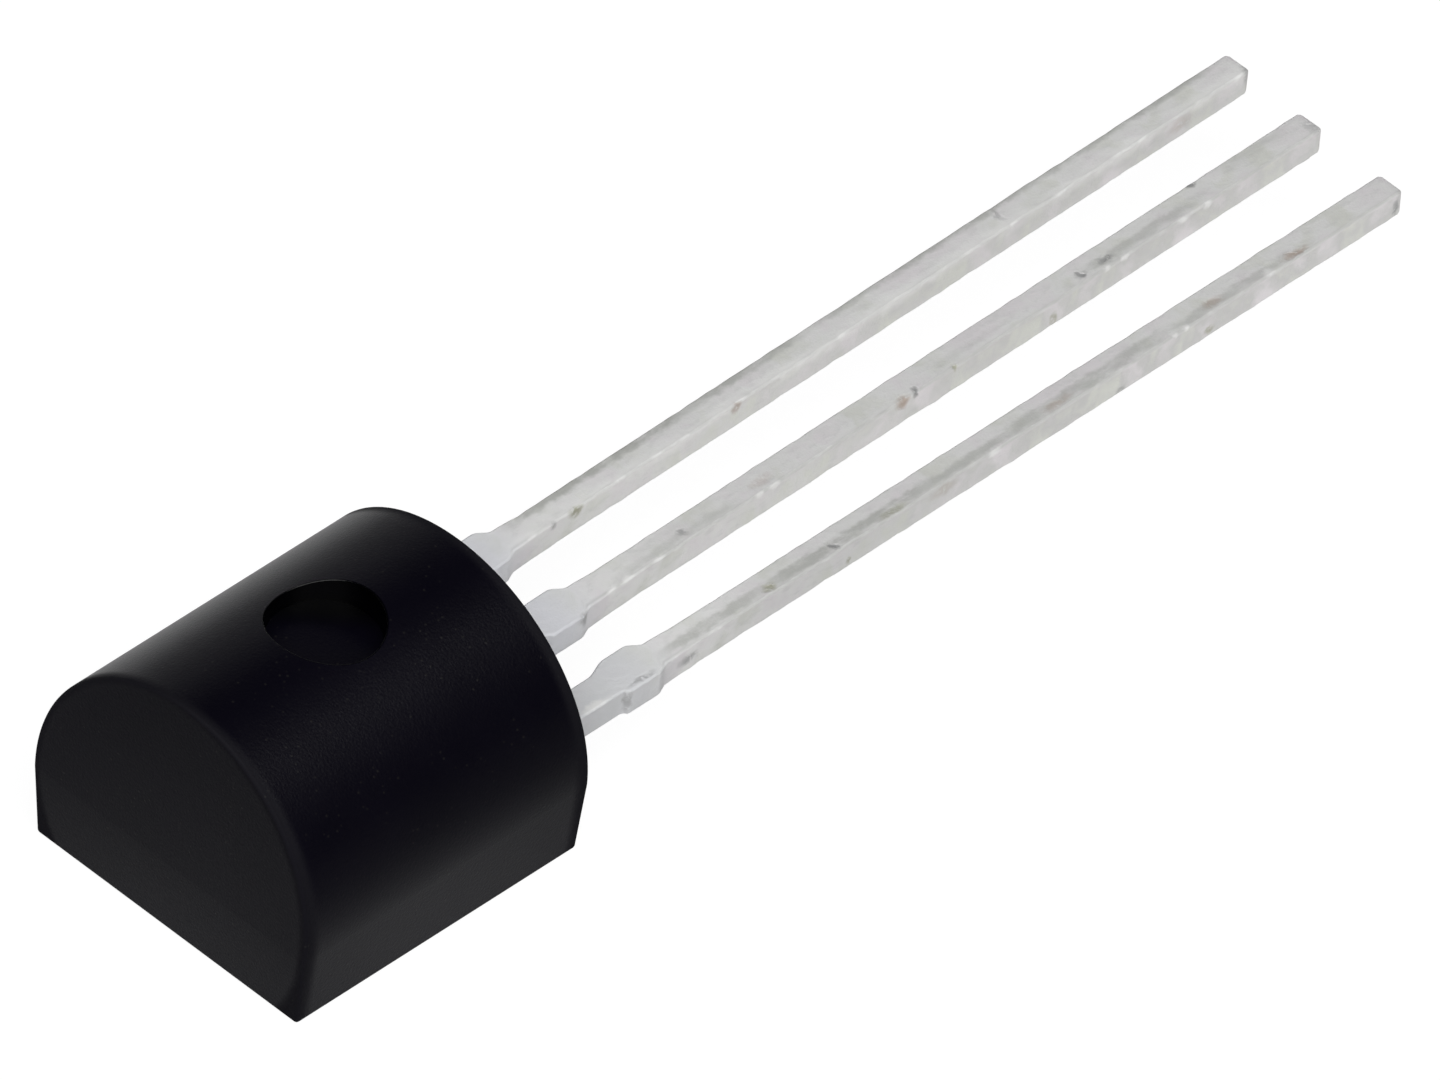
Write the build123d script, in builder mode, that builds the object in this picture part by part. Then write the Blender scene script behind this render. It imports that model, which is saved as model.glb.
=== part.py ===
from build123d import *
from math import radians, tan
import os

# Three-lead voltage reference in a half-round moulded package, in millimetres.
# The origin is the centre of the flat face. +Y runs out along the leads, +X across
# the body, and +Z from the flat face to the crown of the curved back.

# Moulded body
body_length = 4.70        # end to end at the parting plane
flat_width = 4.38
parting_width = 4.54      # side to side at the parting plane
body_depth = 3.48         # flat face to crown
parting_height = 1.05     # parting plane above the flat face
end_draft = 2.5           # degrees, on both end faces and both sides of the parting plane
edge_radius = 0.10
pin_mark_radius = 0.735   # recess of the ejector pin in the curved back
pin_mark_depth = 0.37
pin_mark_centre = (-0.04, 0.09)

# Leadframe strip, and the leads outside the body
strip_thickness = 0.38
strip_middle = 0.99       # height of the strip's mid-plane
lead_pitch = 1.27
lead_length = 14.55       # end face to cut tip
shaft_width = 0.39
root_width = 0.45         # between the end face and the dambar
shaft_edge_radius = 0.04
dambar_start = 1.36       # distances of the dambar's cut stubs from the end face
dambar_end = 1.93
dambar_taper = 0.13
dambar_flare = 0.27
stub_right = 0.285        # half widths of a lead at its stubs
stub_left = 0.335

shank_inside = 0.60       # how far each shank reaches into the body
shank_lap = 0.10          # overlap there with the paddle or post drawn beyond it

# Handled leads lean a little: degrees towards +X in plan, and upwards in side view
lead_lean = {"lead_left": -0.5, "lead_centre": -0.65, "lead_right": -0.3}
lead_rise = {"lead_left": 0.65, "lead_centre": 0.25, "lead_right": 0.0}

# Die paddle, at the inner end of the centre lead
paddle_width = 1.44
paddle_front = 0.75
paddle_back = -1.25
paddle_shoulder = 0.30
tab_width = 0.90
tab_back = -1.80
tab_corner = 0.10
tab_hole_radius = 0.20
tab_hole_y = -1.50

# Bond posts, at the inner ends of the outer leads
post_width = 0.74
post_offset = 0.08        # outwards from the lead's middle
post_front = 1.15
post_back = 0.15
post_shoulder = 0.25
post_corner = 0.10
post_notch_radius = 0.13

# Die, its adhesive and its bond wires
die_size = 1.05
die_thickness = 0.25
die_y = -0.30
attach_thickness = 0.03
attach_spread = 0.07      # adhesive beyond each side of the die
wire_radius = 0.0165
ball_radius = 0.045
ball_height = 0.025
loop_height = 0.22        # above the die
loop_shoulder = 0.45      # share of the span where the loop starts down
loop_knee = 0.05          # slope where the wire kinks over, above the ball
stitch_length = 0.13
stitch_width = 0.075
stitch_height = 0.014
pad_x = 0.40              # bond pads on the die
pad_y = 0.10
post_landing = (1.30, 0.60)
ground_landing_y = 0.62

# Sizes that follow
end_face = body_length / 2
strip_bottom = strip_middle - strip_thickness / 2
strip_top = strip_middle + strip_thickness / 2
die_top = strip_top + attach_thickness + die_thickness
shank_start = end_face - shank_inside


def lead_shank(name, lead_x):
    """Plan of one lead from inside the body, past its dambar stubs, to its cut tip."""
    root = root_width / 2
    shaft = shaft_width / 2
    narrow = dambar_end + dambar_taper
    right_side = [
        (root, -shank_inside),
        (root, dambar_start),
        (stub_right, dambar_start),
        (stub_right, dambar_end),
        (shaft, narrow),
        (shaft, lead_length),
    ]
    left_side = [
        (-shaft, lead_length),
        (-shaft, narrow),
        (-stub_left, dambar_end),
        (-stub_left, dambar_start + dambar_flare / 2),
        (-root, dambar_start - dambar_flare / 2),
        (-root, -shank_inside),
    ]
    slope = tan(radians(lead_lean[name]))
    sides = right_side + left_side
    Polygon(*[(lead_x + x + slope * max(run, 0), end_face + run) for x, run in sides], align=None)


def lead_side_view(name):
    """Side view of one lead: level in the body, then rising by its own small angle."""
    tip_rise = tan(radians(lead_rise[name])) * lead_length
    tip = end_face + lead_length
    lower = [(-end_face, strip_bottom), (end_face, strip_bottom), (tip, strip_bottom + tip_rise)]
    upper = [(y, z + strip_thickness) for y, z in reversed(lower)]
    Polygon(*lower, *upper, align=None)


def round_shaft_edges(lead):
    """Round the long edges of a lead's shaft, as blanking and tin plating leave them."""
    long_edges = lead.edges().filter_by(lambda edge: edge.length > lead_length / 2)
    fillet(long_edges, shaft_edge_radius)


# Centre lead: shank, die paddle, and a holed tab that the epoxy locks into
with BuildPart() as lead_centre:
    with BuildSketch() as centre_plan:
        lead_shank("lead_centre", 0)
        paddle_side = [
            (root_width / 2, shank_start + shank_lap),
            (root_width / 2, paddle_front + paddle_shoulder),
            (paddle_width / 2, paddle_front),
            (paddle_width / 2, paddle_back),
            (tab_width / 2, paddle_back),
            (tab_width / 2, tab_back),
        ]
        Polygon(*paddle_side, *[(-x, y) for x, y in reversed(paddle_side)], align=None)
        fillet(centre_plan.vertices().group_by(Axis.Y)[0], tab_corner)
        with Locations((0, tab_hole_y)):
            Circle(tab_hole_radius, mode=Mode.SUBTRACT)
    extrude(amount=body_depth)
    with BuildSketch(Plane.YZ):
        lead_side_view("lead_centre")
    extrude(amount=parting_width / 2, both=True, mode=Mode.INTERSECT)
    round_shaft_edges(lead_centre)
lead_centre.part.label = "lead_centre"


def outer_lead(name, side):
    """Outer lead on one side (-1 left, +1 right): shank and notched bond post."""
    lead_x = side * lead_pitch
    root = root_width / 2
    outer_edge = post_offset + post_width / 2
    inner_edge = post_offset - post_width / 2
    with BuildPart() as lead:
        with BuildSketch() as plan:
            lead_shank(name, lead_x)
            post_outline = [
                (-root, shank_start + shank_lap),
                (-root, post_front + post_shoulder),
                (inner_edge, post_front),
                (inner_edge, post_back),
                (outer_edge, post_back),
                (outer_edge, post_front),
                (root, post_front + post_shoulder),
                (root, shank_start + shank_lap),
            ]
            Polygon(*[(lead_x + side * outward, y) for outward, y in post_outline], align=None)
            fillet(plan.vertices().group_by(Axis.Y)[0], post_corner)
            with Locations((lead_x + side * outer_edge, (post_front + post_back) / 2)):
                Circle(post_notch_radius, mode=Mode.SUBTRACT)
        extrude(amount=body_depth)
        with BuildSketch(Plane.YZ):
            lead_side_view(name)
        extrude(amount=parting_width / 2, both=True, mode=Mode.INTERSECT)
        round_shaft_edges(lead)
    lead.part.label = name
    return lead.part


lead_left = outer_lead("lead_left", -1)
lead_right = outer_lead("lead_right", 1)

# Die attach: a thin pad of conductive adhesive, spread a little beyond the die
with BuildPart() as die_attach:
    with BuildSketch(Plane.XY.offset(strip_top)):
        with Locations((0, die_y)):
            RectangleRounded(die_size + 2 * attach_spread, die_size + 2 * attach_spread, attach_spread)
    extrude(amount=attach_thickness)
die_attach.part.label = "die_attach"

# Silicon die, sawn square
with BuildPart() as silicon_die:
    with BuildSketch(Plane.XY.offset(strip_top + attach_thickness)):
        with Locations((0, die_y)):
            Rectangle(die_size, die_size)
    extrude(amount=die_thickness)
silicon_die.part.label = "silicon_die"


def bond_wire(name, pad, landing):
    """Gold wire: a ball on the die's pad, a loop, and a flat stitch on the leadframe."""
    span = Vector(*landing) - Vector(*pad)
    heading = span.normalized()
    loop_plane = Plane(origin=(*pad, die_top), x_dir=heading, z_dir=heading.cross(Vector(0, 0, 1)))
    with BuildPart() as wire:
        with BuildLine(loop_plane) as loop:
            Polyline(
                (0, ball_height / 2),
                (0, loop_height - loop_knee),
                (loop_knee, loop_height),
                (span.length * loop_shoulder, loop_height),
                (span.length, strip_top - die_top - wire_radius),
            )
        with BuildSketch(Plane(origin=loop.line @ 0, z_dir=loop.line % 0)):
            Circle(wire_radius)
        sweep(path=loop.line, transition=Transition.RIGHT)
        split(bisect_by=Plane.XY.offset(strip_top), keep=Keep.TOP)
        with BuildSketch(Plane.XY.offset(die_top)):
            with Locations(pad):
                Circle(ball_radius)
        extrude(amount=ball_height)
        with BuildSketch(Plane(origin=(*landing, strip_top), x_dir=heading)):
            Ellipse(stitch_length / 2, stitch_width / 2)
        extrude(amount=stitch_height)
    wire.part.label = name
    return wire.part


bond_wires = [
    bond_wire("bond_wire_left", (-pad_x, pad_y), (-post_landing[0], post_landing[1])),
    bond_wire("bond_wire_right", (pad_x, pad_y), post_landing),
    bond_wire("bond_wire_ground", (0, pad_y), (0, ground_landing_y)),
]
inner_pieces = [lead_left, lead_centre.part, lead_right, die_attach.part, silicon_die.part, *bond_wires]

# Epoxy body: the D of its end view, drafted in side view, moulded round the inner pieces
flat_end = end_face - parting_height * tan(radians(end_draft))
crown_end = end_face - (body_depth - parting_height) * tan(radians(end_draft))
with BuildPart() as epoxy_body:
    with BuildSketch(Plane.XZ):
        with BuildLine():
            walls = Polyline(
                (parting_width / 2, parting_height),
                (flat_width / 2, 0),
                (-flat_width / 2, 0),
                (-parting_width / 2, parting_height),
            )
            ThreePointArc(walls @ 1, (0, body_depth), walls @ 0)
        make_face()
    extrude(amount=end_face, both=True)
    with BuildSketch(Plane.YZ):
        Polygon(
            (-flat_end, 0),
            (flat_end, 0),
            (end_face, parting_height),
            (crown_end, body_depth),
            (-crown_end, body_depth),
            (-end_face, parting_height),
            align=None,
        )
    extrude(amount=parting_width, both=True, mode=Mode.INTERSECT)
    crease = epoxy_body.edges().filter_by_position(
        Axis.Z, parting_height - edge_radius, parting_height + edge_radius
    )
    fillet(epoxy_body.edges() - crease, edge_radius)
    with BuildSketch(Plane.XY.offset(body_depth - pin_mark_depth)):
        with Locations(pin_mark_centre):
            Circle(pin_mark_radius)
    extrude(amount=pin_mark_depth, mode=Mode.SUBTRACT)
    for piece in inner_pieces:
        add(piece, mode=Mode.SUBTRACT)
epoxy_body.part.label = "epoxy_body"

os.makedirs("parts", exist_ok=True)
for piece in [epoxy_body.part, *inner_pieces]:
    export_step(piece, f"parts/{piece.label}.step")
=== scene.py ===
from math import cos, radians, sin, tan

import bmesh
import bpy
from mathutils import Matrix, Vector


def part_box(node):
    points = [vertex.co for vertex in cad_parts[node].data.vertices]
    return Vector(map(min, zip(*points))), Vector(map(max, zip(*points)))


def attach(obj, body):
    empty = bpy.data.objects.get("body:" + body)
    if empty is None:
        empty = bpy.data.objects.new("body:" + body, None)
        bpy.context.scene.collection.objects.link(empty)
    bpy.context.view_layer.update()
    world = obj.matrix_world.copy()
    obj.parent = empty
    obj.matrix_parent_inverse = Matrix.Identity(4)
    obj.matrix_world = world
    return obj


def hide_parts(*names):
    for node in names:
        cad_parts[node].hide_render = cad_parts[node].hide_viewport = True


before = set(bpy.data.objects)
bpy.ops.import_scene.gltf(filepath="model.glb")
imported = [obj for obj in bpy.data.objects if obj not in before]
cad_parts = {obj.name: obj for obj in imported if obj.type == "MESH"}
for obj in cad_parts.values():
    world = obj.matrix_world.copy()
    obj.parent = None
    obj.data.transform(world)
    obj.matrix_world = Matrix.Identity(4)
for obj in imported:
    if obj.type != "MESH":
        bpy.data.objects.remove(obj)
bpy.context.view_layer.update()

# Camera.
# A long lens above and to the right of the end that has no leads, turned a little about its own
# axis. It is aimed at a point between the body and the tips.
camera_azimuth = 41.95
camera_elevation = 42.69
camera_roll = radians(4.80)
camera_distance = 0.5192
camera_aim = Vector((0.00025, 0.00653, 0.001))
field_width = 0.01701
clip_reach = (0.01, 20)


def way_out(azimuth, elevation):
    """Unit vector out from the part, at an azimuth and an elevation in degrees."""
    turn, lift = radians(azimuth), radians(elevation)
    return Vector((sin(turn) * cos(lift), -cos(turn) * cos(lift), sin(lift)))


camera_back = way_out(camera_azimuth, camera_elevation)
lens = bpy.data.cameras.new("long_lens")
lens.lens = camera_distance / field_width * lens.sensor_width
lens.clip_start, lens.clip_end = clip_reach
camera = bpy.data.objects.new("camera", lens)
camera.matrix_world = (
    Matrix.Translation(camera_aim + camera_back * camera_distance)
    @ camera_back.to_track_quat("Z", "Y").to_matrix().to_4x4()
    @ Matrix.Rotation(camera_roll, 4, "Z")
)
bpy.context.scene.collection.objects.link(camera)
bpy.context.scene.camera = camera

# Floor and studio.
# A plain white table top in a plain white room, under broad soft lights. Both are white to the
# camera but throw less light back at the part, so that its black body stays black. What the part
# sees of the table has painted light in its colour: a painted pool of light round the part, and a
# painted sheen of the window on the window's side.
floor_radius = 3.0
floor_gap = 0.000004      # keeps the table top clear of the part's flat face
pale_reach = 0.008        # how far round the part the table throws back more light
sheen_start = 0.001       # and where it begins to throw back most, on the window's side
sheen_width = 0.003
sheen_side = radians(213)
table_tone = (0.17, 0.17, 0.17, 1)
table_painted_pool = (0.95, 0.95, 0.95, 1)
table_painted_sheen = (0.95, 0.95, 0.95, 1)
table_roughness = 0.4
table_glow = 1.1
shadow_share = 0.15       # how much of its shadows the white table shows
room_white = (1.0, 1.0, 1.0, 1)
room_dim = (0.012, 0.012, 0.016, 1)
light_distance = 1.2


class Socket:
    """One output in a material's node tree. Arithmetic on it adds Math nodes to the tree."""

    def __init__(self, tree, output=None):
        self.tree = tree
        self.output = output

    def node(self, kind, settings=None, inputs=None, output=0):
        """Add a node: its settings first, then the values or links of its sockets."""
        made = self.tree.nodes.new(kind)
        for name, value in (settings or {}).items():
            setattr(made, name, value)
        for name, value in (inputs or {}).items():
            if isinstance(value, Socket):
                self.tree.links.new(value.output, made.inputs[name])
            else:
                made.inputs[name].default_value = value
        return Socket(self.tree, made.outputs[output])

    def math(self, operation, *values):
        return self.node("ShaderNodeMath", {"operation": operation}, dict(enumerate(values)))

    def __add__(self, other):
        return self.math("ADD", self, other)

    def __sub__(self, other):
        return self.math("SUBTRACT", self, other)

    def __rsub__(self, other):
        return self.math("SUBTRACT", other, self)

    def __mul__(self, other):
        return self.math("MULTIPLY", self, other)

    __radd__ = __add__
    __rmul__ = __mul__

    def rises(self, low, high):
        """A smooth step up from 0 at low to 1 at high."""
        smooth = {"interpolation_type": "SMOOTHSTEP"}
        return self.node("ShaderNodeMapRange", smooth, {0: self, 1: low, 2: high})

    def near(self, value, width):
        """1 at a value, falling smoothly to 0 a width away from it on both sides."""
        return 1 - self.math("ABSOLUTE", self - value).rises(0, width)

    def mix(self, colour, over):
        """Lay the second colour over the first, in the share that this mask gives."""
        return self.node("ShaderNodeMix", {"data_type": "RGBA"}, {0: self, 6: colour, 7: over}, 2)

    def axes(self):
        return [self.node("ShaderNodeSeparateXYZ", None, {0: self}, axis) for axis in range(3)]

    def noise(self, size, detail=2.0, roughness=0.5):
        """Noise at these coordinates, with features of a size in millimetres."""
        inputs = {"Vector": self, "Scale": 1 / size, "Detail": detail, "Roughness": roughness}
        return self.node("ShaderNodeTexNoise", None, inputs)

    def specks(self, spacing, size):
        """A mask of small round specks, scattered about a spacing apart."""
        inputs = {"Vector": self, "Scale": 1 / spacing}
        distance = self.node("ShaderNodeTexVoronoi", None, inputs)
        return 1 - distance.rises(0.5 * size / spacing, size / spacing)

    def vector(self, operation, other, output=0):
        return self.node("ShaderNodeVectorMath", {"operation": operation}, {0: self, 1: other}, output)

    def ragged(self, size, reach):
        """These coordinates pushed about by noise, so that a mark drawn on them has a torn edge."""
        inputs = {"Vector": self, "Scale": 1 / size, "Detail": 3}
        push = self.node("ShaderNodeTexNoise", None, inputs, 1).vector("SUBTRACT", (0.5, 0.5, 0.5))
        return self.vector("ADD", push.vector("MULTIPLY", (reach, reach, reach)))

    def spot(self, centre, half_sizes):
        """A mask that is 1 inside an oval and fades out over its rim."""
        across = self.vector("SUBTRACT", (*centre, 0)).vector("DIVIDE", (*half_sizes, 1))
        return 1 - across.vector("LENGTH", (0, 0, 0), 1).rises(0.2, 1.15)


bpy.ops.object.select_all(action="DESELECT")
bpy.ops.mesh.primitive_circle_add(
    vertices=96, radius=floor_radius, fill_type="NGON", location=(0, 0, -floor_gap)
)
floor = bpy.context.object
floor.name = "floor"
bpy.ops.object.transform_apply()
table = bpy.data.materials.new("matt_white")
table.use_nodes = True
place = Socket(table.node_tree).node("ShaderNodeTexCoord", output="Object")
around = place.node("ShaderNodeMapping", None, {
    "Vector": place, "Scale": (1 / pale_reach, 1 / pale_reach, 1 / pale_reach),
})
painted_pool = place.node(
    "ShaderNodeTexGradient", {"gradient_type": "QUADRATIC_SPHERE"}, {"Vector": around}, "Fac"
)
towards = place.node("ShaderNodeMapping", None, {
    "Vector": place, "Scale": (1 / sheen_width, 1 / sheen_width, 1 / sheen_width),
    "Rotation": (0, 0, sheen_side), "Location": (-sheen_start / sheen_width, 0, 0),
})
painted_sheen = place.node("ShaderNodeTexGradient", None, {"Vector": towards}, "Fac")
# Painted pool of light round the part and painted sheen of the window, in the colour the part sees.
tone = painted_sheen.mix(painted_pool.mix(table_tone, table_painted_pool), table_painted_sheen)
shader = table.node_tree.nodes["Principled BSDF"]
shader.inputs["Roughness"].default_value = table_roughness
table.node_tree.links.new(tone.output, shader.inputs["Base Color"])
lit = Socket(table.node_tree, shader.outputs["BSDF"])
glow = lit.node("ShaderNodeEmission", None, {"Strength": table_glow})
shown = lit.node("ShaderNodeBsdfDiffuse")
white = lit.node("ShaderNodeMixShader", None, {0: shadow_share, 1: glow, 2: shown})
seen = lit.node("ShaderNodeLightPath", output="Is Camera Ray")
surface = lit.node("ShaderNodeMixShader", None, {0: seen, 1: lit, 2: white})
finish = table.node_tree.nodes["Material Output"]
table.node_tree.links.new(surface.output, finish.inputs["Surface"])
floor.data.materials.append(table)

room = bpy.data.worlds.new("room")
room.use_nodes = True
seen = Socket(room.node_tree).node("ShaderNodeLightPath", output="Is Camera Ray")
backdrop = room.node_tree.nodes["Background"]
room.node_tree.links.new(seen.mix(room_dim, room_white).output, backdrop.inputs["Color"])
bpy.context.scene.world = room
bpy.context.scene.view_settings.view_transform = "Standard"


def soft_light(name, azimuth, elevation, width, watts):
    """Hang a square soft light that faces the part, at an azimuth measured as the camera's."""
    light = bpy.data.lights.new(name, "AREA")
    light.size = width
    light.energy = watts
    away = way_out(azimuth, elevation)
    lamp = bpy.data.objects.new(name, light)
    lamp.location = away * light_distance
    lamp.rotation_euler = away.to_track_quat("Z", "Y").to_euler()
    lamp.visible_camera = False
    bpy.context.scene.collection.objects.link(lamp)


soft_light("key_light", 52, 51, 1.8, 24.5)
soft_light("window_light", -123, 10, 1.2, 1.15)
soft_light("back_light", 152, 50, 0.6, 0.07)

# Leads.
# Three square leads blanked from one copper strip, the middle one with the die paddle and the
# outer two with silvered bond posts. What stands out of the body was tinned after moulding.
millimetre = 0.001
lead_pitch = 1.27
shank_half = 0.225
shaft_half = 0.195
dambar_start = 1.36
dambar_end = 1.93
dambar_taper = 0.13
dambar_flare = 0.27
stub_right = 0.285
stub_left = 0.335
paddle_half = 0.72
paddle_front = 0.75
paddle_back = -1.25
paddle_shoulder = 0.30
tab_half = 0.45
tab_back = -1.80
tab_hole_y = -1.50
tab_hole_radius = 0.20
post_outer = 0.45
post_inner = 0.29
post_front = 1.15
post_back = 0.15
post_shoulder = 0.25
post_notch_radius = 0.13
strip_corner = 0.10
blanked_edge = 0.035
wave_length = 0.15
plating_waves = ((1, 0.006), (3, 0.012))      # every so many rings, moved by up to so much
plating_seeds = {"left": 73, "centre": 200, "right": 327}
tip_trim = 0.02
tip_taper = 0.06          # the shears squeeze this last part of each tip
tip_share = 0.86
stub_step = 0.04          # how far the step of each right stub is spread along the lead
stub_round = 0.06
shaft_swell = 0.12        # share by which the shaft is still wider where it leaves its stubs
swell_rings = 7
hair = 0.001              # what lies this near a place is at it
facing = 0.9              # a face whose normal points this much one way faces that way
sharp_angle = radians(30)
smooth_angle = radians(40)
# Degrees by which each lead leans towards +X, and by which it rises.
lead_lean = {"left": -0.5, "centre": -0.65, "right": -0.3}
lead_rise = {"left": 0.65, "centre": 0.25, "right": 0.0}
lead_middles = {"left": -lead_pitch, "centre": 0.0, "right": lead_pitch}
tin_top = (0.90, 0.90, 0.885, 1)
tin_side_painted_light = {              # by the body, and towards the tip: painted light, paler by the body against its shadow
    "left": ((0.92, 0.915, 0.90, 1), (0.73, 0.725, 0.71, 1)),
    "centre": ((0.95, 0.945, 0.93, 1), (0.70, 0.695, 0.68, 1)),
    "right": ((1.00, 0.995, 0.98, 1), (0.66, 0.655, 0.64, 1)),
}
tin_warm = (0.885, 0.845, 0.865, 1)
tin_olive = (0.80, 0.81, 0.745, 1)
tin_dull = (0.66, 0.66, 0.65, 1)
tin_band_grey = (0.56, 0.565, 0.535, 1)
tin_painted_highlight = (1.0, 1.0, 0.98, 1)
tin_edge_shade = (0.67, 0.67, 0.65, 1)
# A lavender tone by the body, painted paler on the leads that the body shades more: painted light
# against its shadow.
tin_root = {
    "left": (0.86, 0.87, 0.93, 1),
    "centre": (0.86, 0.87, 0.92, 1),
    "right": (0.74, 0.75, 0.77, 1),
}
edge_gleam = {"left": 0.9, "centre": 0.0, "right": 0.0}
edge_shade = {"left": 0.6, "centre": 1.0, "right": 1.0}
copper = (0.78, 0.43, 0.27, 1)
silver = (0.86, 0.85, 0.82, 1)
olive_stain = (0.42, 0.42, 0.31, 1)
brown_stain = (0.50, 0.41, 0.35, 1)
grey_stain = (0.38, 0.38, 0.38, 1)
# Darker grey bands: from and to along Y, from and to round the section from its upper edge on the
# +X side (minus over the top, plus down the side), and strength.
dark_bands = {
    "left": (
        (4.4, 7.9, -0.45, -0.27, 1.0), (7.4, 9.8, -0.45, -0.28, 0.9),
        (9.5, 16.8, -0.45, -0.31, 0.8),
    ),
    "centre": (
        (4.8, 7.2, -0.15, -0.04, 0.5), (5.0, 6.8, -0.32, -0.12, 0.2), (10.2, 11.6, -0.2, -0.1, 0.3),
        (12.6, 15.2, -0.20, -0.07, 0.6), (15.2, 16.8, -0.36, -0.2, 0.3),
    ),
    "right": (
        (4.2, 6.4, -0.20, -0.05, 0.8), (5.9, 9.2, -0.20, -0.04, 0.85), (8.6, 10.6, -0.17, -0.04, 0.7),
        (10.0, 13.2, -0.21, -0.05, 0.7), (12.8, 15.6, -0.15, -0.04, 0.6),
    ),
}
# Pits: place along Y and round the section, half sizes, strength and stain.
pit_places = {
    "left": (
        ((5.45, 0.05), (0.15, 0.11), 0.9, olive_stain),
        ((5.08, 0.04), (0.06, 0.08), 0.7, grey_stain),
        ((8.15, 0.06), (0.09, 0.12), 0.7, brown_stain),
        ((12.8, -0.25), (0.06, 0.14), 0.5, grey_stain),
        ((15.7, 0.15), (0.25, 0.14), 0.3, brown_stain),
        ((16.85, 0.05), (0.08, 0.20), 0.6, grey_stain),
    ),
    "centre": (
        ((4.26, 0.08), (0.09, 0.14), 0.7, grey_stain),
        ((6.12, -0.16), (0.09, 0.08), 0.7, grey_stain),
        ((7.45, -0.16), (0.25, 0.10), 0.3, brown_stain),
        ((9.72, 0.02), (0.14, 0.12), 0.9, brown_stain),
        ((9.95, 0.0), (0.06, 0.12), 1.0, grey_stain),
        ((10.6, 0.0), (0.05, 0.09), 0.8, olive_stain),
        ((12.3, 0.27), (0.08, 0.13), 0.7, olive_stain),
        ((12.88, -0.14), (0.10, 0.07), 1.0, grey_stain),
        ((13.3, -0.14), (0.14, 0.07), 0.9, grey_stain),
        ((14.97, -0.37), (0.10, 0.06), 1.0, grey_stain),
        ((16.8, -0.1), (0.10, 0.20), 0.4, grey_stain),
    ),
    "right": (
        # The first two darken the step of its stub: painted shade of the step, on the rough border of
        # its cut.
        ((3.72, 0.16), (0.07, 0.24), 0.7, grey_stain),
        ((4.00, -0.07), (0.28, 0.05), 0.6, grey_stain),
        ((4.80, 0.20), (0.20, 0.10), 0.7, grey_stain),
        ((6.25, -0.10), (0.12, 0.09), 0.8, olive_stain),
        ((7.32, -0.10), (0.06, 0.08), 1.0, grey_stain),
        ((7.50, 0.26), (0.06, 0.08), 0.7, olive_stain),
        ((8.3, -0.06), (0.28, 0.07), 0.6, olive_stain),
        ((9.1, 0.10), (0.30, 0.10), 0.3, brown_stain),
        ((11.1, -0.10), (0.30, 0.08), 0.5, brown_stain),
        ((12.1, 0.33), (0.10, 0.08), 0.6, grey_stain),
        ((13.75, -0.12), (0.20, 0.09), 0.55, brown_stain),
        ((15.12, -0.08), (0.26, 0.07), 0.8, brown_stain),
        ((13.6, 0.27), (0.11, 0.08), 0.7, olive_stain),
        ((16.78, 0.22), (0.07, 0.14), 0.9, grey_stain),
    ),
}
# Painted glints on spots made a little smoother: place along Y and round the section, and half length.
glint_places = {
    "left": (
        (4.73, -0.02, 0.09), (6.20, -0.02, 0.10), (6.85, -0.03, 0.13), (7.30, 0.0, 0.10),
        (8.26, -0.04, 0.10), (9.95, -0.02, 0.10), (12.85, 0.0, 0.06), (13.68, 0.0, 0.09),
        (15.05, 0.0, 0.08), (16.70, 0.0, 0.10),
    ),
    "centre": (
        (4.80, 0.01, 0.12), (5.08, 0.0, 0.14), (5.60, 0.0, 0.12), (7.30, 0.01, 0.07),
        (7.55, 0.01, 0.10), (13.20, 0.0, 0.07), (13.50, 0.0, 0.08), (14.50, 0.0, 0.10),
        (14.92, 0.02, 0.09),
    ),
    "right": (
        (3.25, -0.04, 0.28), (13.02, -0.02, 0.07), (13.20, -0.02, 0.06), (14.65, -0.06, 0.10),
        (9.95, 0.02, 0.12),
    ),
}


def box_in_millimetres(node):
    """Low and high corner of a CAD node, in the millimetres that the pieces are modelled in."""
    return [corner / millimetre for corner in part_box(node)]


end_face = box_in_millimetres("epoxy_body")[1].y
strip_low, strip_high = box_in_millimetres("lead_right")
lead_tip = strip_high.y
strip_bottom = strip_low.z
strip_top = strip_high.z
strip_middle = (strip_bottom + strip_top) / 2
shaft_start = end_face + dambar_end + dambar_taper


def select_only(piece):
    """Leave edit mode, and make this the one selected object."""
    if bpy.context.mode != "OBJECT":
        bpy.ops.object.mode_set(mode="OBJECT")
    bpy.ops.object.select_all(action="DESELECT")
    if piece:
        piece.select_set(True)
        bpy.context.view_layer.objects.active = piece


def start_piece(name, add, **where):
    """Add a primitive with nothing else selected, settle its place and go into edit mode."""
    select_only(None)
    add(**where)
    piece = bpy.context.object
    piece.name = name
    bpy.ops.object.transform_apply()
    bpy.ops.object.mode_set(mode="EDIT")
    bpy.ops.mesh.select_mode(type="VERT")
    return piece


def pick(kind, wanted):
    """In edit mode, select only the vertices, edges or faces that pass a test."""
    bpy.ops.mesh.select_mode(type=kind)
    bpy.ops.mesh.select_all(action="DESELECT")
    mesh = bmesh.from_edit_mesh(bpy.context.edit_object.data)
    for part in {"VERT": mesh.verts, "EDGE": mesh.edges, "FACE": mesh.faces}[kind]:
        if wanted(part):
            part.select_set(True)
    mesh.select_flush_mode()


def extrude(move):
    bpy.ops.mesh.extrude_region_move(TRANSFORM_OT_translate={"value": move})


def apply_modifier(piece, kind, **settings):
    """Give a piece one modifier and apply it at once."""
    select_only(piece)
    modifier = piece.modifiers.new(kind.lower(), kind)
    for setting, value in settings.items():
        setattr(modifier, setting, value)
    bpy.ops.object.modifier_apply(modifier=modifier.name)


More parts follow.
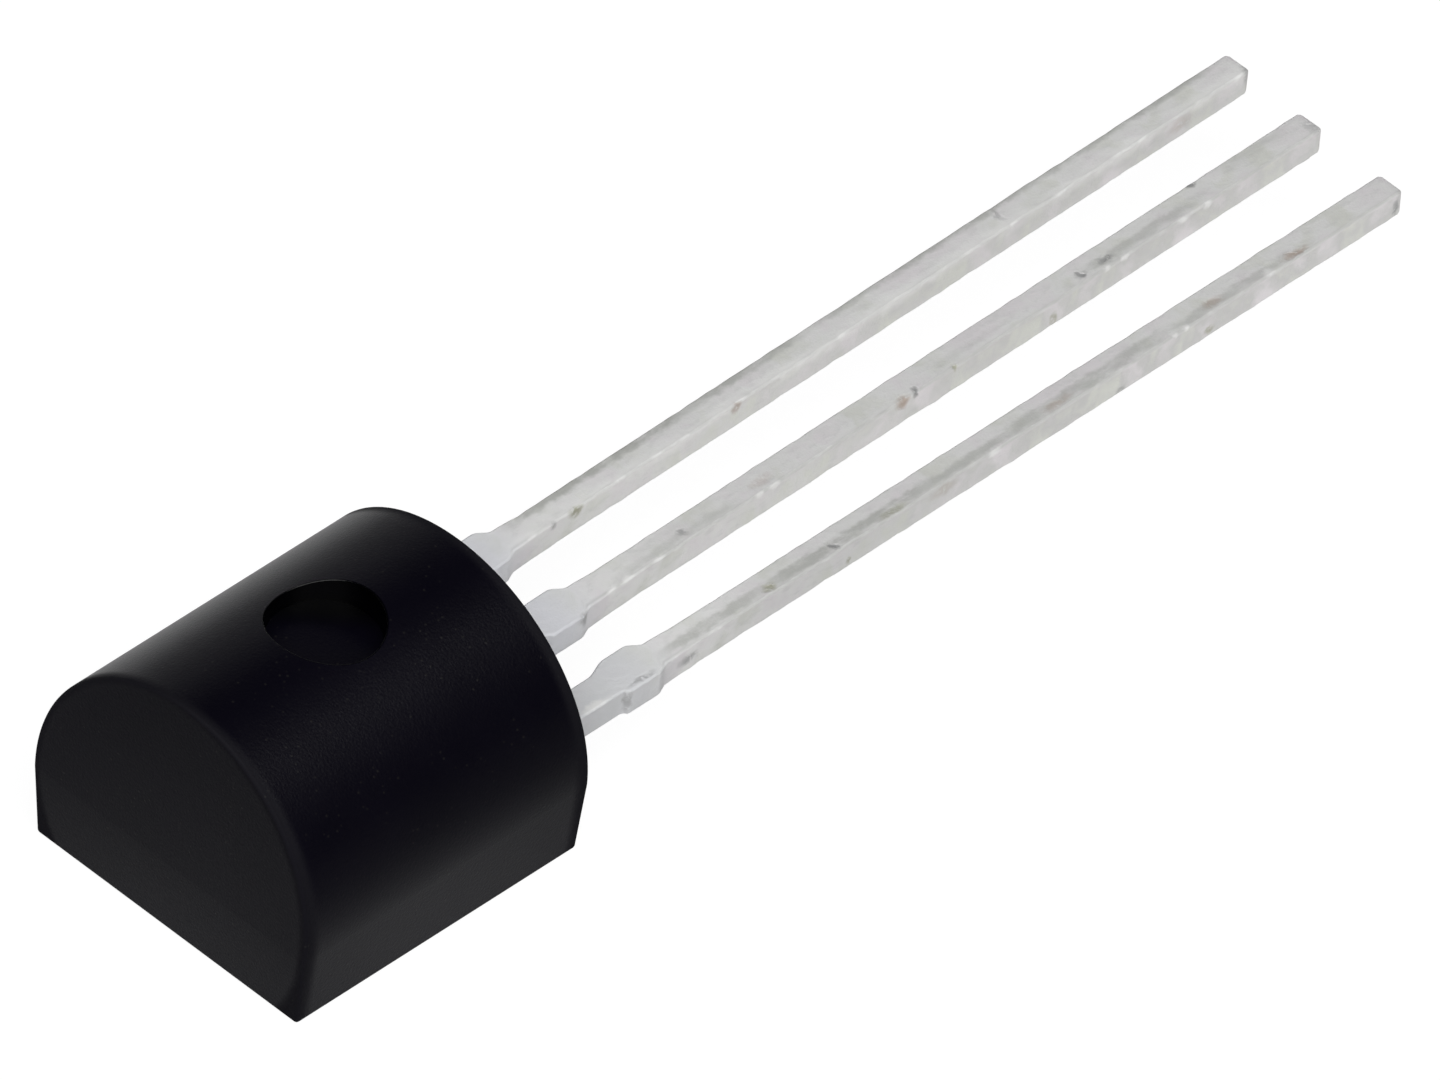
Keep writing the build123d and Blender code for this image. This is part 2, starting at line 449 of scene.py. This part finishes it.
def draw_outline(name, points, height):
    """Draw a flat blank by running one vertex round its outline, then filling it.

    The vertex is a small square, merged.
    """
    corner = Vector((*points[0], height))
    blank = start_piece(name, bpy.ops.mesh.primitive_plane_add, size=0.1, location=corner)
    bpy.ops.mesh.merge(type="CENTER")
    for near, far in zip(points, points[1:]):
        step = (far[0] - near[0], far[1] - near[1], 0)
        bpy.ops.mesh.extrude_vertices_move(TRANSFORM_OT_translate={"value": step})
    bpy.ops.mesh.select_all(action="SELECT")
    bpy.ops.mesh.edge_face_add()
    return blank


def shank_side(shank, dambar_begins, dambar_full, stub):
    """Outline of one side of a shank, as half widths at distances along Y."""
    return [
        (shank, end_face + dambar_begins),
        (stub, end_face + dambar_full),
        (stub, end_face + dambar_end),
        (shaft_half, shaft_start),
    ]


def stands_up(edge):
    """Whether an edge of a blank runs up through its thickness."""
    return abs(edge.verts[0].co.z - edge.verts[1].co.z) > (strip_top - strip_bottom) / 2


def stub_corner(edge):
    """Whether an edge is a corner of the dambar stubs, other than the two of a right step."""
    run = edge.verts[0].co.y - end_face
    at_stubs = dambar_start - dambar_flare < run < dambar_end + hair
    return stands_up(edge) and at_stubs and abs(run - dambar_start) > stub_step


def blank_lead(name, middle, left_end, right_end):
    """Blank a lead in one piece with what it carries inside the body, up to its dambar stubs."""
    step = stub_step / 2
    right = right_end + shank_side(shank_half, dambar_start - step, dambar_start + step, stub_right)
    flare = dambar_flare / 2
    left = left_end + shank_side(shank_half, dambar_start - flare, dambar_start + flare, stub_left)
    outline = [(middle + x, y) for x, y in right] + [(middle - x, y) for x, y in reversed(left)]
    lead = draw_outline(name, outline, strip_bottom)
    extrude((0, 0, strip_top - strip_bottom))
    bpy.ops.mesh.select_all(action="SELECT")
    bpy.ops.mesh.normals_make_consistent(inside=False)
    inner_end = min(y for x, y in outline)
    pick("EDGE", lambda edge: stands_up(edge) and abs(edge.verts[0].co.y - inner_end) < hair)
    bpy.ops.mesh.bevel(offset=strip_corner, segments=6, affect="EDGES")
    pick("EDGE", stub_corner)
    bpy.ops.mesh.bevel(offset=stub_round, segments=3, affect="EDGES")
    return lead


def ring_of(vert):
    """Number of the shaft's ring that a vertex lies in, counted from the stubs."""
    return round((vert.co.y - shaft_start) / wave_length)


def draw_shaft(middle, seed):
    """Draw the shaft out a little past its length, then make it uneven as its plating is.

    Operators number the corners of a ring in an order that changes from run to run, so they are
    put in one order, in which each gets the same random move every time.
    """
    pick("FACE", lambda face: face.normal.y > facing
         and face.calc_center_median().y > shaft_start - hair)
    lengths = round((lead_tip - shaft_start) / wave_length)
    for _ in range(lengths):
        extrude((0, (lead_tip + tip_trim - shaft_start) / lengths, 0))
    for ring in range(swell_rings):
        pick("VERT", lambda vert: ring_of(vert) == ring and vert.co.y > shaft_start - hair)
        swell = 1 + shaft_swell * (1 - ring / swell_rings) ** 2
        bpy.ops.transform.resize(value=(swell, 1, 1), center_override=(middle, shaft_start, 0))
    mesh = bmesh.from_edit_mesh(bpy.context.edit_object.data)
    mesh.verts.sort(
        key=lambda vert: 4 * ring_of(vert) + 2 * (vert.co.z > strip_middle) + (vert.co.x < middle)
    )
    for every, offset in plating_waves:
        pick("VERT", lambda vert: vert.co.y > shaft_start + hair and ring_of(vert) % every == 0)
        bpy.ops.transform.vertex_random(offset=offset, seed=seed + every)


def bend_lead(middle, side):
    """Bend the lead where it leaves the body, by the few tenths of a degree of handling."""
    bpy.ops.mesh.select_all(action="SELECT")
    bpy.ops.mesh.bisect(plane_co=(0, end_face, 0), plane_no=(0, 1, 0))
    pick("VERT", lambda vert: vert.co.y > end_face + hair)
    hinge = (middle, end_face, strip_middle)
    bpy.ops.transform.rotate(value=radians(lead_lean[side]), orient_axis="Z", center_override=hinge)
    bpy.ops.transform.rotate(value=-radians(lead_rise[side]), orient_axis="X", center_override=hinge)
    bpy.ops.mesh.select_all(action="SELECT")
    bpy.ops.mesh.bisect(plane_co=(0, lead_tip - tip_taper, 0), plane_no=(0, 1, 0))
    bpy.ops.mesh.select_all(action="SELECT")
    bpy.ops.mesh.bisect(
        plane_co=(0, lead_tip, 0), plane_no=(0, 1, 0), use_fill=True, clear_outer=True
    )
    pick("FACE", lambda face: face.normal.y > facing
         and face.calc_center_median().y > lead_tip - hair)
    bpy.ops.transform.resize(value=(tip_share, 1, tip_share))


def punch(piece, x, y, radius):
    """Punch a round hole through a blanked piece, or a notch where it meets an edge."""
    tool = start_piece(
        "punch", bpy.ops.mesh.primitive_cylinder_add,
        vertices=40, radius=radius, depth=1, location=(x, y, strip_middle),
    )
    apply_modifier(piece, "BOOLEAN", object=tool, operation="DIFFERENCE", solver="EXACT")
    bpy.data.objects.remove(tool)


def break_edges(piece, width, segments):
    """Round all sharp edges, then shade them smoothly into flats that stay flat."""
    apply_modifier(
        piece, "BEVEL", width=width, segments=segments, limit_method="ANGLE",
        angle_limit=sharp_angle, use_clamp_overlap=False, miter_outer="MITER_ARC",
    )
    bpy.ops.object.shade_smooth_by_angle(angle=smooth_angle)
    apply_modifier(piece, "WEIGHTED_NORMAL", keep_sharp=True)


def to_real_size(piece, node):
    """Bring a finished piece from millimetres to metres and let it stand for its CAD node."""
    select_only(piece)
    piece.scale = (millimetre, millimetre, millimetre)
    bpy.ops.object.transform_apply()
    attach(piece, "root")
    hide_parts(node)


def post_side(half):
    """Outline of one side of a bond post, from its inner end to the shank."""
    return [(half, post_back), (half, post_front), (shank_half, post_front + post_shoulder)]


paddle = [
    (tab_half, tab_back),
    (tab_half, paddle_back),
    (paddle_half, paddle_back),
    (paddle_half, paddle_front),
    (shank_half, paddle_front + paddle_shoulder),
]
inner_ends = {
    "left": (post_side(post_outer), post_side(post_inner)),
    "centre": (paddle, paddle),
    "right": (post_side(post_inner), post_side(post_outer)),
}
leads = {}
for side, middle in lead_middles.items():
    lead = blank_lead(side + "_lead", middle, *inner_ends[side])
    draw_shaft(middle, plating_seeds[side])
    bend_lead(middle, side)
    if side == "centre":
        punch(lead, 0, tab_hole_y, tab_hole_radius)
    else:
        outer_edge = middle + (post_outer if middle > 0 else -post_outer)
        punch(lead, outer_edge, (post_front + post_back) / 2, post_notch_radius)
    break_edges(lead, blanked_edge, segments=3)
    leads[side] = lead


def start_material(name):
    """A new material, and the piece's coordinates in millimetres to draw its patterns on."""
    material = bpy.data.materials.new(name)
    material.use_nodes = True
    place = Socket(material.node_tree).node("ShaderNodeTexCoord", output="Object")
    inputs = {"Vector": place, "Scale": (1 / millimetre, 1 / millimetre, 1 / millimetre)}
    return material, place.node("ShaderNodeMapping", None, inputs)


def dress(piece, material, colour, roughness, height, depth, **further):
    """Join a material's patterns to its shader, set what is the same all over, and use it."""
    bump = height.node("ShaderNodeBump", None, {"Height": height, "Distance": depth * millimetre})
    shader = material.node_tree.nodes["Principled BSDF"]
    further.update(Base_Color=colour, Roughness=roughness, Normal=bump)
    for name, value in further.items():
        socket = shader.inputs[name.replace("_", " ")]
        if isinstance(value, Socket):
            material.node_tree.links.new(value.output, socket)
        else:
            socket.default_value = value
    piece.data.materials.clear()
    piece.data.materials.append(material)


# Patterns of the tin, with their sizes and widths in millimetres. A pair tells where a mask
# starts to rise and where it has risen, unless it says otherwise.
cloud_size = 0.38
cloud_stretch = (0.7, 0.6, 1)
cloud_torn = 0.25         # size and reach of its torn edges
warm_cloud = (0.46, 0.7)
olive_cloud = (0.3, 0.5)
tint_share = 0.7          # of the warm and the olive clouds
mottle_size = 0.12
mottle_stretch = (0.5, 1, 1)
mottle_torn = (0.2, 0.1)  # size and reach
dull_mottle = (0.48, 0.75)
dull_share = 0.35
band_size = 0.22
band_gaps = (0.15, 0.6)
band_fade = 0.6           # along the lead, at both ends of a rubbed band
band_start_fade = 0.04    # and round the section, to both sides of where it begins
band_end_fade = 0.05      # and of where it ends
mark_torn = 0.13          # both size and reach
mark_gap_size = 0.08
mark_gaps = (0.25, 0.5)
side_start = (0.0, 0.05)  # below the top face, where the tone of the side takes over
side_fade = (2, 9)        # from the end face, where the side's painted light darkens towards the tip
gleam_turn = -0.02        # where the painted highlight of the upper edge runs
gleam_width = 0.2
gleam_size = 0.4
gleam_gaps = (0.3, 0.6)
edge_shade_turn = -0.005        # where its line of painted shade runs
edge_shade_width = 0.05
edge_shade_size = 0.25
edge_shade_gaps = (0.2, 0.5)
root_fade = (1.5, 2.5)    # from the end face, where the tone of the root gives way
root_share = 0.8
glint_half_width = 0.075
glint_share = 0.85
tin_grain = 0.03
tin_roughness = 0.46
tin_relief = 0.010
bare_from_face = (-0.06, -0.02)     # just inside the body, where the tin begins
silver_fade = 0.1
shine_fade = (1.0, 5.0)   # from the end face, where the tin comes to its full shine
tin_shine = 0.3
bare_shine = 0.6


def plate_with_tin(side, middle):
    """Matt tin: pale and blotchy, with darker grey bands, pitted, and with painted light: glints, a
    highlight and shade along its edges, and on its sides and roots.

    The strip is bare copper inside the body, and silvered at its bonded end.
    """
    material, place = start_material("matt_tin_" + side)
    x, y, z = place.axes()
    run = y.math("MAXIMUM", y - end_face, 0)
    across = x - middle - run * tan(radians(lead_lean[side]))
    below = strip_top + run * tan(radians(lead_rise[side])) - z
    stub = run.rises(dambar_start - stub_step, dambar_start + stub_step) * (stub_right - shank_half)
    stub = stub - run.rises(dambar_end, dambar_end + dambar_taper) * (stub_right - shaft_half)
    turn = across - shank_half - stub + below
    unrolled = place.node("ShaderNodeCombineXYZ", None, {0: y, 1: turn})
    streaks = unrolled.vector("MULTIPLY", cloud_stretch).ragged(cloud_torn, cloud_torn)
    drawn = unrolled.vector("MULTIPLY", mottle_stretch).ragged(*mottle_torn)
    marks = unrolled.ragged(mark_torn, mark_torn)
    torn_y, torn_turn, _ = marks.axes()
    broken = marks.noise(mark_gap_size, 2).rises(*mark_gaps)
    on_side = below.rises(*side_start)

    # The sides take their own tone, painted light: paler by the body and darker towards the tip.
    colour = on_side.mix(tin_top, run.rises(*side_fade).mix(*tin_side_painted_light[side]))
    cloud = streaks.noise(cloud_size, 3)
    colour = (cloud.rises(*warm_cloud) * tint_share).mix(colour, tin_warm)
    colour = ((1 - cloud.rises(*olive_cloud)) * tint_share).mix(colour, tin_olive)
    mottle = drawn.noise(mottle_size, 4, 0.6)
    colour = (mottle.rises(*dull_mottle) * dull_share).mix(colour, tin_dull)
    band_breakup = drawn.noise(band_size, 4, 0.65).rises(*band_gaps)
    for begins, ends, from_turn, to_turn, strength in dark_bands[side]:
        band = torn_y.rises(begins, begins + band_fade) * (1 - torn_y.rises(ends - band_fade, ends))
        band = band * torn_turn.rises(from_turn - band_start_fade, from_turn + band_start_fade)
        band = band * (1 - torn_turn.rises(to_turn - band_end_fade, to_turn + band_end_fade))
        colour = (band * band_breakup * strength).mix(colour, tin_band_grey)
    # Painted highlight: a broken bright line along the upper edge on the +X side.
    gleam = torn_turn.near(gleam_turn, gleam_width) * drawn.noise(gleam_size, 3).rises(*gleam_gaps)
    colour = (gleam * edge_gleam[side]).mix(colour, tin_painted_highlight)
    # Painted shade: a broken darker line on the upper edge, dulling the highlight of its rounding.
    shaded_edge = turn.near(edge_shade_turn, edge_shade_width) * drawn.noise(edge_shade_size, 2).rises(*edge_shade_gaps)
    colour = (shaded_edge * edge_shade[side]).mix(colour, tin_edge_shade)
    # Lavender tone at the root, with painted light against the body's shadow.
    colour = ((1 - run.rises(*root_fade)) * root_share).mix(colour, tin_root[side])
    pits = 0
    for centre, half_sizes, strength, stain in pit_places[side]:
        pit = marks.spot(centre, half_sizes) * broken * strength
        colour = pit.mix(colour, stain)
        pits = pit + pits
    # Painted glints: white spots along the edges, where the bevel catches light, also made a little
    # smoother.
    glints = 0
    for along, around, length in glint_places[side]:
        glint = marks.spot((along, around), (length, glint_half_width))
        colour = (glint * glint_share).mix(colour, tin_painted_highlight)
        glints = glint + glints

    bare = 1 - (y - end_face).rises(*bare_from_face)
    silvered = 1 - torn_y.rises(post_front, post_front + silver_fade)
    colour = bare.mix(colour, silvered.mix(copper, silver))
    roughness = tin_roughness + mottle * 0.14 + pits * 0.15 - glints * 0.1 - bare * 0.15
    height = cloud * 1.2 + mottle + place.noise(tin_grain, 2) * 0.25 - pits
    shine = run.rises(*shine_fade) * tin_shine + bare * bare_shine
    dress(leads[side], material, colour, roughness, height, tin_relief, Metallic=shine)


for side, middle in lead_middles.items():
    plate_with_tin(side, middle)
    to_real_size(leads[side], "lead_" + side)

# Die adhesive.
# A thin pad of silver-filled epoxy, dabbed on the paddle and pressed out under the die, so
# that its edge slopes a little and its corners are round. It was cured in place.
adhesive_low, adhesive_high = box_in_millimetres("die_attach")
adhesive_corner = 0.07
adhesive_slope = 0.012
adhesive_smooth = radians(60)
flake_size = 0.02
flake_spread = (0.35, 0.65)
adhesive_greys = ((0.26, 0.26, 0.25, 1), (0.52, 0.52, 0.50, 1))
adhesive_roughness = 0.35
adhesive_shine = 0.6
adhesive_relief = 0.004

adhesive = start_piece(
    "die_adhesive", bpy.ops.mesh.primitive_cube_add, size=1,
    location=(adhesive_low + adhesive_high) / 2, scale=adhesive_high - adhesive_low,
)
pick("EDGE", lambda edge: abs(edge.verts[0].co.z - edge.verts[1].co.z) > adhesive_slope)
bpy.ops.mesh.bevel(offset=adhesive_corner, segments=8, affect="EDGES")
pick("FACE", lambda face: face.normal.z > facing)
bpy.ops.mesh.inset(thickness=adhesive_slope)
pick("VERT", lambda vert: vert.co.z > adhesive_high.z - hair and any(
    face.normal.z < facing for face in vert.link_faces))
bpy.ops.transform.translate(value=(0, 0, -adhesive_slope))
select_only(adhesive)
bpy.ops.object.shade_smooth_by_angle(angle=adhesive_smooth)

adhesive_material, place = start_material("silver_adhesive")
flakes = place.noise(flake_size, 3, 0.7)
colour = flakes.rises(*flake_spread).mix(*adhesive_greys)
roughness = adhesive_roughness + flakes * 0.35
dress(
    adhesive, adhesive_material, colour, roughness, flakes, adhesive_relief, Metallic=adhesive_shine
)
to_real_size(adhesive, "die_attach")

# Die.
# The reference itself: a square of silicon sawn from its wafer and set in the adhesive. A bare
# sawing lane runs round the top, and inside it lie the passivated circuit and its bond pads.
die_low, die_high = box_in_millimetres("silicon_die")
saw_lane = 0.035
passivation_step = 0.003
pad_cells = 11
pad_places = ((-0.40, 0.10), (0.40, 0.10), (0.0, 0.10), (-0.30, -0.66))
pad_recess = 0.0015
pad_frame = 0.004
pad_half = 0.06
circuit_edge = 0.004
circuit_depth = (-0.03, -0.005)   # from the top of the die, where the circuit fades in
circuit_blocks = 8        # across a millimetre
circuit_gap = 0.03
circuit_offset = 0.4
circuit_lines = (0.10, 0.14, 0.16, 1)
circuit_tones = ((0.20, 0.24, 0.32, 1), (0.30, 0.27, 0.34, 1))
silicon_grey = (0.17, 0.18, 0.20, 1)
pad_aluminium = (0.75, 0.75, 0.73, 1)
pad_rim = (0.1, 0.2)
track_size = 0.06
circuit_roughness = 0.18
bare_roughness = 0.35     # how much rougher the sawn silicon is
die_shine = 0.3
die_relief = 0.0004

die = start_piece(
    "reference_die", bpy.ops.mesh.primitive_cube_add, size=1,
    location=(die_low + die_high) / 2, scale=die_high - die_low,
)
pick("FACE", lambda face: face.normal.z > facing)
bpy.ops.transform.translate(value=(0, 0, -passivation_step))
bpy.ops.mesh.inset(thickness=saw_lane)
extrude((0, 0, passivation_step))
bpy.ops.mesh.subdivide(number_cuts=pad_cells - 1)
cell = (die_high.x - die_low.x - 2 * saw_lane) / pad_cells
pick("FACE", lambda face: face.normal.z > facing and face.calc_center_median().z > die_high.z - hair
     and any((face.calc_center_median() - Vector((x, y, die_high.z))).length < cell / 2
             for x, y in pad_places))
bpy.ops.mesh.inset(thickness=pad_frame, use_individual=True)
extrude((0, 0, -pad_recess))
select_only(die)

die_material, place = start_material("passivated_silicon")
x, y, z = place.axes()
circuit = (die_high.x - saw_lane - x.math("ABSOLUTE", x)).rises(0, circuit_edge)
circuit = circuit * (z - die_high.z).rises(*circuit_depth)
blocks = place.node("ShaderNodeTexBrick", {"offset": circuit_offset}, {
    "Vector": place, "Scale": circuit_blocks, "Mortar Size": circuit_gap,
    "Mortar": circuit_lines, "Color1": circuit_tones[0], "Color2": circuit_tones[1],
})
colour = circuit.mix(silicon_grey, blocks)
for pad_x, pad_y in pad_places:
    pad = x.near(pad_x, pad_half) * y.near(pad_y, pad_half)
    colour = (pad.rises(*pad_rim) * circuit).mix(colour, pad_aluminium)
tracks = place.noise(track_size, 2)
roughness = circuit_roughness + (1 - circuit) * bare_roughness
dress(die, die_material, colour, roughness, tracks, die_relief, Metallic=die_shine)
to_real_size(die, "silicon_die")

# Bond wires.
# Fine gold wires, ball bonded on the die's pads, looped over its edge and stitched down, two
# on the posts and one on the paddle. The ball and the stitch are the wire's own ends, squashed.
wire_radius = 0.0165
ball_radius = 0.045
ball_height = 0.025
loop_height = 0.22
# Shape of the loop: share of the way along, and of the way up. It is measured from the ball's
# height as far as loop_level, and from the straight line down to the stitch past that.
loop_profile = ((0, 0.3), (0, 0.7), (0.02, 1), (0.15, 1), (0.40, 0.97), (0.72, 0.45), (0.93, 0))
loop_level = 0.6
stitch_half_length = 0.065
stitch_half_width = 0.0375
stitch_height = 0.014
drawing_size = 0.012
wire_golds = ((0.95, 0.66, 0.25, 1), (1.0, 0.74, 0.34, 1))
wire_roughness = 0.16
wire_relief = 0.0006
wire_smooth = radians(50)
wire_ends = {
    "left": ((-0.40, 0.10), (-1.30, 0.60)),
    "right": ((0.40, 0.10), (1.30, 0.60)),
    "ground": ((0.0, 0.10), (0.0, 0.62)),
}


def flatten(low, high):
    """Cut the piece in edit mode off flat at two heights."""
    for height, way in ((low, -1), (high, 1)):
        bpy.ops.mesh.select_all(action="SELECT")
        bpy.ops.mesh.bisect(
            plane_co=(0, 0, height), plane_no=(0, 0, way), use_fill=True, clear_outer=True
        )


def wire_loop(name, ball, stitch):
    """Lead the wire straight up from its ball, over in a low arch and down to its stitch."""
    span = stitch - ball
    rise = loop_height - wire_radius
    route = [ball + Vector((0, 0, ball_height / 2))]
    for along, up in loop_profile:
        fall = span.z if along > loop_level else 0
        level = ball + Vector((span.x, span.y, fall)) * along
        route.append(level + Vector((0, 0, rise * up)))
    route.append(stitch)
    select_only(None)
    bpy.ops.curve.primitive_nurbs_path_add()
    loop = bpy.context.object
    loop.name = name
    spline = loop.data.splines[0]
    spline.points.add(len(route) - len(spline.points))
    for point, place in zip(spline.points, route):
        point.co = (*place, 1)
    spline.order_u = 4
    spline.use_endpoint_u = True
    spline.resolution_u = 6
    loop.location = (0, 0, 0)
    loop.data.bevel_depth = wire_radius
    loop.data.bevel_resolution = 3
    loop.data.use_fill_caps = True
    bpy.ops.object.convert(target="MESH")
    return loop


def squashed_end(place, half_sizes, heading, height):
    """A round end of the wire, squashed against the surface under it."""
    end = start_piece(
        "squashed_end", bpy.ops.mesh.primitive_uv_sphere_add, segments=28, ring_count=16,
        radius=1, location=place, scale=half_sizes, rotation=(0, 0, heading),
    )
    flatten(place.z - height / 2, place.z + height)
    return end


gold_wires = []
for side, (pad, landing) in wire_ends.items():
    ball = Vector((*pad, die_high.z))
    stitch = Vector((*landing, strip_top))
    heading = (stitch - ball).to_2d().angle_signed(Vector((1, 0)))
    wire = wire_loop(side + "_wire", ball, stitch)
    ball_end = squashed_end(
        ball + Vector((0, 0, ball_height / 2)), (ball_radius, ball_radius, ball_radius), 0, ball_height
    )
    stitch_end = squashed_end(
        stitch, (stitch_half_length, stitch_half_width, stitch_height), heading, stitch_height
    )
    for end in (ball_end, stitch_end):
        apply_modifier(wire, "BOOLEAN", object=end, operation="UNION", solver="EXACT")
        bpy.data.objects.remove(end)
    bpy.ops.object.mode_set(mode="EDIT")
    flatten(strip_top, die_high.z + 2 * loop_height)
    select_only(wire)
    bpy.ops.object.shade_smooth_by_angle(angle=wire_smooth)
    gold, place = start_material("drawn_gold_" + side)
    drawing_marks = place.noise(drawing_size, 2)
    colour = drawing_marks.mix(*wire_golds)
    roughness = wire_roughness + drawing_marks * 0.14
    dress(wire, gold, colour, roughness, drawing_marks, wire_relief, Metallic=1.0)
    to_real_size(wire, "bond_wire_" + side)
    gold_wires.append(wire)

# Moulded body.
# Black epoxy, transfer moulded round the leadframe in a two-part mould: half round at the back,
# flat at the front, drafted both ways from its parting plane, and marked by one ejector pin.
body_high = box_in_millimetres("epoxy_body")[1]
parting_height = 1.05
parting_half = 2.27
flat_half = 2.19
end_draft = radians(2.5)
body_edge = 0.05
body_spare = 1            # what the blank has over the body's length, before its ends are drafted
pin_mark_x = -0.04
pin_mark_y = 0.09
pin_mark_radius = 0.735
pin_mark_floor = body_high.z - 0.37
pin_mark_rim = 0.02
pin_taper = 0.975         # the pin's end is this share of its size
pin_length = 1
rim_joint = 0.012         # points on the mark's rim closer together than this are one
fit = 0.0002              # how far the curved back stays inside the bare part's box
grain_size = 0.035
flow_size = 1.3
flow_spread = (0.3, 0.7)
filler_spacing = 0.11
filler_size = 0.02
filler_patch_size = 0.5
filler_patches = (0.45, 0.6)
epoxy_blacks = ((0.0012, 0.0008, 0.0036, 1), (0.0018, 0.0013, 0.0045, 1))
filler_grey = (0.02, 0.019, 0.018, 1)
painted_recess_shade = (0.0001, 0.0001, 0.0003, 1)
rim_along = (0.05, 0.3)   # from the end faces, where the rougher rim gives way
rim_inward = (0.0, 0.16)  # and how far in from the curved back
wall_width = 0.03
shade_start = (0.3, 0.95) # across the mark, towards its wall on the -X, +Y side
epoxy_roughness = 0.27
epoxy_gloss = 0.25
epoxy_relief = 0.0035

back_radius = body_high.x - fit
back_centre = body_high.z - fit - back_radius
body = start_piece(
    "moulded_body", bpy.ops.mesh.primitive_cylinder_add, vertices=192,
    radius=back_radius, depth=2 * end_face + body_spare,
    location=(0, 0, back_centre), rotation=(radians(90), 0, 0),
)
bpy.ops.mesh.bisect(
    plane_co=(0, 0, parting_height), plane_no=(0, 0, -1), use_fill=True, clear_outer=True
)
pick("FACE", lambda face: face.normal.z < -facing)
extrude((0, 0, -parting_height))
bpy.ops.transform.resize(value=(flat_half / parting_half, 1, 1))
for end in (-1, 1):
    for lean in (-end_draft, end_draft):
        bpy.ops.mesh.select_all(action="SELECT")
        bpy.ops.mesh.bisect(
            plane_co=(0, end * end_face, parting_height), plane_no=(0, end * cos(lean), sin(lean)),
            use_fill=True, clear_outer=True,
        )
break_edges(body, body_edge, segments=5)


def from_pin_axis(vert):
    return Vector((vert.co.x - pin_mark_x, vert.co.y - pin_mark_y)).length


def on_mark_rim(vert):
    """Whether a vertex of the body lies on the upper rim of the pin's mark."""
    above_floor = vert.co.z > pin_mark_floor + 3 * pin_mark_rim
    return above_floor and abs(from_pin_axis(vert) - pin_mark_radius) < pin_mark_rim


pin = start_piece(
    "ejector_pin", bpy.ops.mesh.primitive_cylinder_add, vertices=96, radius=pin_mark_radius,
    depth=pin_length, location=(pin_mark_x, pin_mark_y, pin_mark_floor + pin_length / 2),
)
pick("FACE", lambda face: face.normal.z < -facing)
bpy.ops.transform.resize(value=(pin_taper, pin_taper, 1))
apply_modifier(body, "BOOLEAN", object=pin, operation="DIFFERENCE", solver="EXACT")
bpy.data.objects.remove(pin)
bpy.ops.object.mode_set(mode="EDIT")
pick("VERT", lambda vert: on_mark_rim(vert) and from_pin_axis(vert) < pin_mark_radius + hair)
bpy.ops.mesh.remove_doubles(threshold=rim_joint)
pick("EDGE", lambda edge: edge.is_manifold and edge.calc_face_angle() > sharp_angle
     and all(on_mark_rim(vert) for vert in edge.verts))
bpy.ops.mesh.bevel(offset=pin_mark_rim, segments=3, affect="EDGES", clamp_overlap=False)
select_only(body)
body.scale = (millimetre, millimetre, millimetre)
for inner in (*leads.values(), adhesive, die, *gold_wires):
    apply_modifier(body, "BOOLEAN", object=inner, operation="DIFFERENCE", solver="EXACT")
bpy.ops.object.shade_smooth_by_angle(angle=smooth_angle)
apply_modifier(body, "WEIGHTED_NORMAL", keep_sharp=True)

epoxy, place = start_material("black_epoxy")
grain = place.noise(grain_size, 3, 0.6)
flow = place.noise(flow_size, 3)
colour = flow.rises(*flow_spread).mix(*epoxy_blacks)
filler = place.specks(filler_spacing, filler_size)
filler = filler * place.noise(filler_patch_size, 1).rises(*filler_patches)
colour = (filler * 0.5).mix(colour, filler_grey)
x, y, z = place.axes()
from_end = end_face - y.math("ABSOLUTE", y)
section = place.node("ShaderNodeCombineXYZ", None, {0: x, 1: z - back_centre})
from_back = back_radius - section.vector("LENGTH", (0, 0, 0), 1)
rim = (1 - from_end.rises(*rim_along)) * (1 - from_back.rises(*rim_inward))
across = place.node("ShaderNodeCombineXYZ", None, {0: x - pin_mark_x, 1: y - pin_mark_y})
from_pin = across.vector("LENGTH", (0, 0, 0), 1)
pin_wall = from_pin.near(pin_mark_radius - wall_width / 3, wall_width)
in_mark = 1 - from_pin.rises(pin_mark_radius - pin_mark_rim, pin_mark_radius)
pin_shade = (y - x).rises(*shade_start) * in_mark
# Painted shade in the recess: the mark's wall, and its floor towards that wall, are painted black.
colour = pin_wall.math("MAXIMUM", pin_wall, pin_shade).mix(colour, painted_recess_shade)
roughness = epoxy_roughness + grain * 0.08 + flow * 0.04 + rim * 0.6 - pin_wall * 0.2
height = grain + filler * 0.2
dress(body, epoxy, colour, roughness, height, epoxy_relief, Specular_IOR_Level=epoxy_gloss)
to_real_size(body, "epoxy_body")
